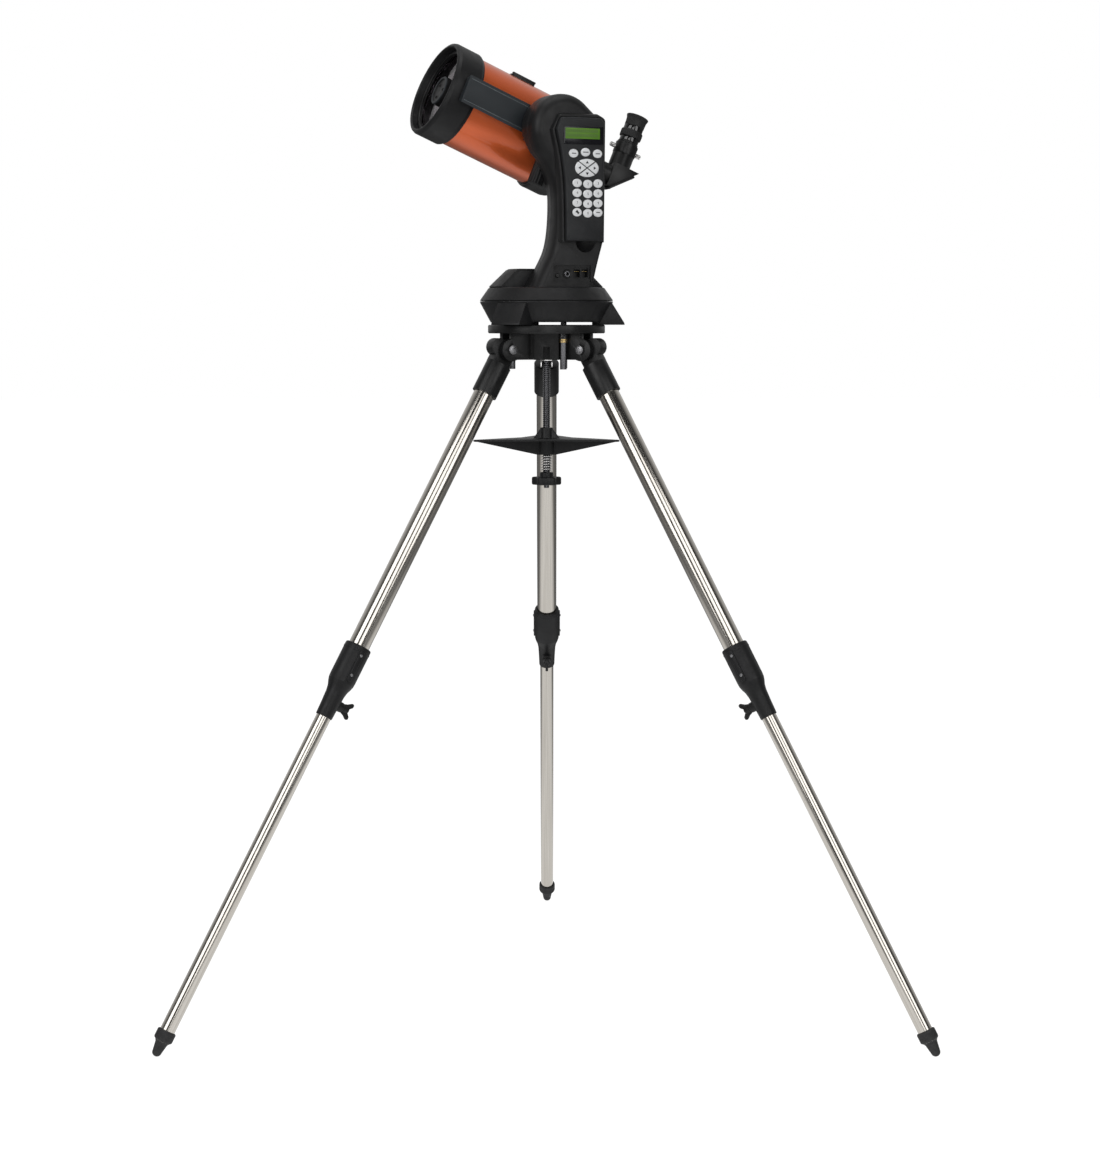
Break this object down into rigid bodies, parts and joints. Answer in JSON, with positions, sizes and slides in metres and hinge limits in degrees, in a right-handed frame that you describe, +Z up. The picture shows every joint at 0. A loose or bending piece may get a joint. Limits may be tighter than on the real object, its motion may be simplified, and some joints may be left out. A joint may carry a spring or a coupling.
{
  "type": "schmidt-cassegrain telescope",
  "caption": "Short closed-tube catadioptric telescope on a single-arm computerised altazimuth mount with hand control and a folding steel field tripod.",
  "frame": {"origin": "on the floor under the mount's azimuth axis", "axes": "+Z up; one tripod leg leans out along +Y, and the other two lean out to -X and +X in front"},
  "size_m": [1.1438, 0.9945, 1.4829],
  "materials": {
    "copper_paint": "gloss metallic",
    "black_plastic": "satin moulded",
    "black_paint": "satin",
    "slate_paint": "satin",
    "steel": "polished tube",
    "zinc": "plated",
    "chrome": "polished",
    "brass": "cut",
    "gear_plastic": "natural acetal",
    "rubber": "matte",
    "key_white": "soft keys",
    "display_window": "gloss",
    "corrector_glass": "coated",
    "mirror_glass": "aluminised"
  },
  "bodies": {
    "tripod": {"tripod_head": "black_paint", "head_bolts": "zinc", "center_rod": "zinc", "tray_spring": "zinc", "base_bottom": "black_plastic", "azimuth_gear": "brass"},
    "spreader": {"spreader_tray": "black_plastic"},
    "tension_nut": {"tension_knob": "black_plastic"},
    "turning_base": {"base_housing": "black_plastic", "drive_motors": "zinc", "arm_inner_shell": "black_plastic", "arm_outer_shell": "black_plastic"},
    "azimuth_pinion": {"azimuth_pinion": "gear_plastic"},
    "altitude_pinion": {"altitude_pinion": "gear_plastic"},
    "battery_cover": {"battery_cover": "black_plastic"},
    "power_switch": {"power_switch": "black_plastic"},
    "hand_control": {"hand_control_shell": "black_plastic", "hand_control_window": "display_window"},
    "key_up": {"key_up": "key_white"},
    "key_down": {"key_down": "key_white"},
    "key_left": {"key_left": "key_white"},
    "key_right": {"key_right": "key_white"},
    "menu_keys": {"menu_keys": "key_white"},
    "number_keys": {"number_keys": "key_white"},
    "saddle": {"saddle": "black_paint", "altitude_gear": "brass"},
    "saddle_knob": {"saddle_knob": "black_plastic"},
    "optical_tube": {"tube": "copper_paint", "front_cell": "black_plastic", "corrector": "corrector_glass", "secondary_holder": "black_plastic", "rear_cell": "black_plastic", "baffle_tube": "black_paint", "dovetail_bar": "slate_paint", "finder_rail": "black_plastic", "visual_back": "black_paint"},
    "primary_mirror": {"primary_mirror": "mirror_glass"},
    "focus_knob": {"focus_knob": "black_plastic"},
    "diagonal": {"diagonal": "black_paint"},
    "thumbscrew_front": {"thumbscrew_front": "chrome"},
    "thumbscrew_back": {"thumbscrew_back": "chrome"},
    "eyepiece": {"eyepiece": "black_paint"},
    "leg_left": {"leg_left_yoke": "black_paint", "leg_left_upper_tube": "steel", "leg_left_collar": "black_plastic"},
    "leg_left_lock_screw": {"leg_left_lock_screw": "black_plastic"},
    "leg_left_lower": {"leg_left_lower_tube": "steel", "leg_left_foot": "rubber"},
    "leg_right": {"leg_right_yoke": "black_paint", "leg_right_upper_tube": "steel", "leg_right_collar": "black_plastic"},
    "leg_right_lock_screw": {"leg_right_lock_screw": "black_plastic"},
    "leg_right_lower": {"leg_right_lower_tube": "steel", "leg_right_foot": "rubber"},
    "leg_rear": {"leg_rear_yoke": "black_paint", "leg_rear_upper_tube": "steel", "leg_rear_collar": "black_plastic"},
    "leg_rear_lock_screw": {"leg_rear_lock_screw": "black_plastic"},
    "leg_rear_lower": {"leg_rear_lower_tube": "steel", "leg_rear_foot": "rubber"}
  },
  "joints": [
    {"name": "azimuth", "type": "hinge", "parent": "tripod", "child": "turning_base", "pos_m": [0, 0, 1.1], "axis": [0, 0, 1], "continuous": true},
    {"name": "azimuth_pinion_spin", "type": "hinge", "parent": "turning_base", "child": "azimuth_pinion", "pos_m": [-0.06006, -0.02737, 1.07], "axis": [0, 0, 1], "continuous": true},
    {"name": "altitude", "type": "hinge", "parent": "turning_base", "child": "saddle", "pos_m": [0, 0, 1.35], "axis": [-0.4147, 0.91, 0], "range_deg": [-23, 67]},
    {"name": "altitude_pinion_spin", "type": "hinge", "parent": "turning_base", "child": "altitude_pinion", "pos_m": [0.02073, -0.0455, 1.308], "axis": [-0.4147, 0.91, 0], "range_deg": [-480, 480]},
    {"name": "saddle_knob_turn", "type": "hinge", "parent": "saddle", "child": "saddle_knob", "pos_m": [-0.00964, -0.01318, 1.29086], "axis": [0.3556, 0.162, 0.9205], "range_deg": [-720, 720]},
    {"name": "tube_slide", "type": "slide", "parent": "saddle", "child": "optical_tube", "axis": [-0.8376, -0.3817, 0.3907], "range_m": [-0.02, 0.02]},
    {"name": "focus_knob_turn", "type": "hinge", "parent": "optical_tube", "child": "focus_knob", "pos_m": [0.01452, 0.12311, 1.29665], "axis": [-0.8376, -0.3817, 0.3907], "range_deg": [-1810, 1810]},
    {"name": "mirror_focus", "type": "slide", "parent": "optical_tube", "child": "primary_mirror", "axis": [-0.8376, -0.3817, 0.3907], "range_m": [-0.00375, 0.00375]},
    {"name": "diagonal_turn", "type": "hinge", "parent": "optical_tube", "child": "diagonal", "pos_m": [0.07024, 0.11223, 1.30311], "axis": [-0.8376, -0.3817, 0.3907], "range_deg": [-90, 30]},
    {"name": "eyepiece_slide", "type": "slide", "parent": "diagonal", "child": "eyepiece", "axis": [0.3556, 0.162, 0.9205], "range_m": [0, 0.03]},
    {"name": "thumbscrew_front_turn", "type": "hinge", "parent": "diagonal", "child": "thumbscrew_front", "pos_m": [0.10406, 0.12765, 1.33948], "axis": [-0.8376, -0.3817, 0.3907], "range_deg": [-360, 360]},
    {"name": "thumbscrew_back_turn", "type": "hinge", "parent": "diagonal", "child": "thumbscrew_back", "pos_m": [0.14427, 0.14597, 1.32073], "axis": [-0.8376, -0.3817, 0.3907], "range_deg": [-360, 360]},
    {"name": "battery_cover_lift", "type": "slide", "parent": "turning_base", "child": "battery_cover", "axis": [0, 0, -1], "range_m": [-0.06, 0]},
    {"name": "power_switch_press", "type": "slide", "parent": "turning_base", "child": "power_switch", "axis": [-0.4147, 0.91, 0], "range_m": [0, 0.002], "stiffness_N_per_m": 600},
    {"name": "hand_control_lift", "type": "slide", "parent": "turning_base", "child": "hand_control", "axis": [0.4147, -0.91, 0], "range_m": [0, 0.06]},
    {"name": "key_up_press", "type": "slide", "parent": "hand_control", "child": "key_up", "axis": [-0.4147, 0.91, 0], "range_m": [0, 0.0012], "stiffness_N_per_m": 600},
    {"name": "key_down_press", "type": "slide", "parent": "hand_control", "child": "key_down", "axis": [-0.4147, 0.91, 0], "range_m": [0, 0.0012], "stiffness_N_per_m": 600},
    {"name": "key_left_press", "type": "slide", "parent": "hand_control", "child": "key_left", "axis": [-0.4147, 0.91, 0], "range_m": [0, 0.0012], "stiffness_N_per_m": 600},
    {"name": "key_right_press", "type": "slide", "parent": "hand_control", "child": "key_right", "axis": [-0.4147, 0.91, 0], "range_m": [0, 0.0012], "stiffness_N_per_m": 600},
    {"name": "menu_keys_press", "type": "slide", "parent": "hand_control", "child": "menu_keys", "axis": [-0.4147, 0.91, 0], "range_m": [0, 0.0012], "stiffness_N_per_m": 600},
    {"name": "number_keys_press", "type": "slide", "parent": "hand_control", "child": "number_keys", "axis": [-0.4147, 0.91, 0], "range_m": [0, 0.0012], "stiffness_N_per_m": 1800},
    {"name": "tension_knob_turn", "type": "hinge", "parent": "tripod", "child": "tension_nut", "pos_m": [0, 0, 0.816], "axis": [0, 0, 1], "range_deg": [-1080, 1080]},
    {"name": "spreader_turn", "type": "hinge", "parent": "tripod", "child": "spreader", "pos_m": [0, 0, 0.87], "axis": [0, 0, 1], "range_deg": [0, 60]},
    {"name": "leg_left_fold", "type": "hinge", "parent": "tripod", "child": "leg_left", "pos_m": [-0.06149, -0.0355, 1.018], "axis": [0.5, -0.866, 0], "range_deg": [0, 25]},
    {"name": "leg_left_extend", "type": "slide", "parent": "leg_left", "child": "leg_left_lower", "axis": [0.4317, 0.2492, 0.8669], "range_m": [0, 0.43]},
    {"name": "leg_left_lock_turn", "type": "hinge", "parent": "leg_left", "child": "leg_left_lock_screw", "pos_m": [-0.30174, -0.17421, 0.4854], "axis": [-0.7508, -0.4334, 0.4985], "range_deg": [-360, 360]},
    {"name": "leg_right_fold", "type": "hinge", "parent": "tripod", "child": "leg_right", "pos_m": [0.06149, -0.0355, 1.018], "axis": [0.5, 0.866, 0], "range_deg": [0, 25]},
    {"name": "leg_right_extend", "type": "slide", "parent": "leg_right", "child": "leg_right_lower", "axis": [-0.4317, 0.2492, 0.8669], "range_m": [0, 0.43]},
    {"name": "leg_right_lock_turn", "type": "hinge", "parent": "leg_right", "child": "leg_right_lock_screw", "pos_m": [0.30174, -0.17421, 0.4854], "axis": [0.7508, -0.4334, 0.4985], "range_deg": [-360, 360]},
    {"name": "leg_rear_fold", "type": "hinge", "parent": "tripod", "child": "leg_rear", "pos_m": [0, 0.071, 1.018], "axis": [-1, 0, 0], "range_deg": [0, 25]},
    {"name": "leg_rear_extend", "type": "slide", "parent": "leg_rear", "child": "leg_rear_lower", "axis": [0, -0.4985, 0.8669], "range_m": [0, 0.43]},
    {"name": "leg_rear_lock_turn", "type": "hinge", "parent": "leg_rear", "child": "leg_rear_lock_screw", "pos_m": [0, 0.34842, 0.4854], "axis": [0, 0.8669, 0.4985], "range_deg": [-360, 360]}
  ],
  "couplings": [
    {"joint": "azimuth_pinion_spin", "follows": "azimuth", "ratio": 10},
    {"joint": "altitude_pinion_spin", "follows": "altitude", "ratio": -6},
    {"joint": "focus_knob_turn", "follows": "mirror_focus", "rad_per_m": 8377.6},
    {"joint": "spreader_turn", "follows": "leg_left_fold", "ratio": 2.4},
    {"joint": "leg_right_fold", "follows": "leg_left_fold", "ratio": 1},
    {"joint": "leg_rear_fold", "follows": "leg_left_fold", "ratio": 1}
  ]
}
